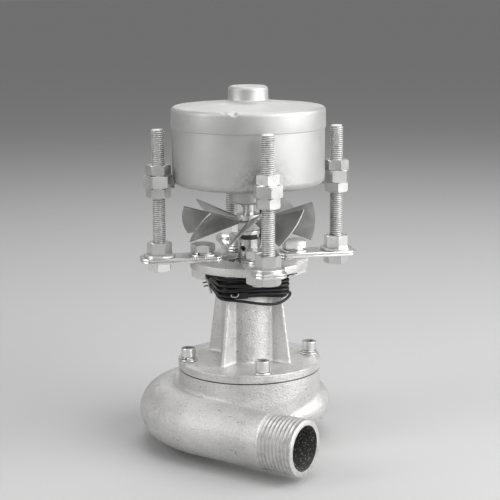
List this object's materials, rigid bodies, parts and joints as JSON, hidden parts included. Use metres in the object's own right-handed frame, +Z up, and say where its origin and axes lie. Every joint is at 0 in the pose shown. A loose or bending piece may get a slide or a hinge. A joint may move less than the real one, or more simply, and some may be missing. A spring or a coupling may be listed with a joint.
{
  "type": "micro hydro generator",
  "caption": "Small vertical micro hydro generator: spiral turbine casing with threaded inlet pipe, ribbed bearing column, fan, and a drum generator hung on tie bolts.",
  "frame": {"origin": "on the shaft axis in the plane of the outlet ring's foot", "axes": "+Z up along the shaft, +X along the inlet pipe towards its mouth"},
  "size_m": [0.2013, 0.1868, 0.3166],
  "materials": {
    "cast_aluminium": "sand-cast, matt, granular",
    "zinc_steel": "bright zinc plated",
    "drum_steel": "satin silver",
    "fan_steel": "matt grey sheet",
    "ground_steel": "ground",
    "runner_steel": "wetted, dull",
    "gasket": "matt",
    "cable_black": "semi-matt",
    "sleeve_grey": "semi-matt"
  },
  "bodies": {
    "frame": {"volute_casing": "cast_aluminium", "casing_gasket": "gasket", "bearing_column": "cast_aluminium", "column_bearing": "ground_steel", "column_screws": "zinc_steel", "column_spring_washers": "zinc_steel", "column_flat_washers": "zinc_steel", "lower_links": "zinc_steel", "upper_links": "zinc_steel", "link_bolts": "zinc_steel", "link_flat_washers": "zinc_steel", "link_spring_washers": "zinc_steel", "link_nuts": "zinc_steel", "tie_bolt_front": "zinc_steel", "tie_bolt_right": "zinc_steel", "tie_bolt_back": "zinc_steel", "tie_bolt_left": "zinc_steel", "tie_washers": "zinc_steel", "tie_base_nuts": "zinc_steel", "lower_lock_nuts": "zinc_steel", "weld_nuts": "zinc_steel", "upper_lock_nuts": "zinc_steel", "generator_can": "drum_steel", "generator_cover": "drum_steel", "top_boss": "drum_steel", "lower_boss": "drum_steel", "cable_gland": "cable_black", "cable_lead": "cable_black", "cable_coil": "cable_black", "cable_loop": "cable_black", "cable_tape": "cable_black", "cable_sleeve": "sleeve_grey"},
    "rotor": {"generator_shaft": "ground_steel", "fan": "fan_steel", "fan_cap": "ground_steel", "fan_nut": "ground_steel", "fan_washer": "ground_steel", "fan_spacer": "cable_black", "shaft_coupling": "ground_steel", "coupling_screws": "cable_black", "turbine_shaft": "ground_steel", "runner": "runner_steel", "runner_nut": "runner_steel"}
  },
  "joints": [
    {"name": "rotor_spin", "type": "hinge", "parent": "frame", "child": "rotor", "pos_m": [0, 0, 0.17], "axis": [0, 0, 1], "continuous": true}
  ]
}
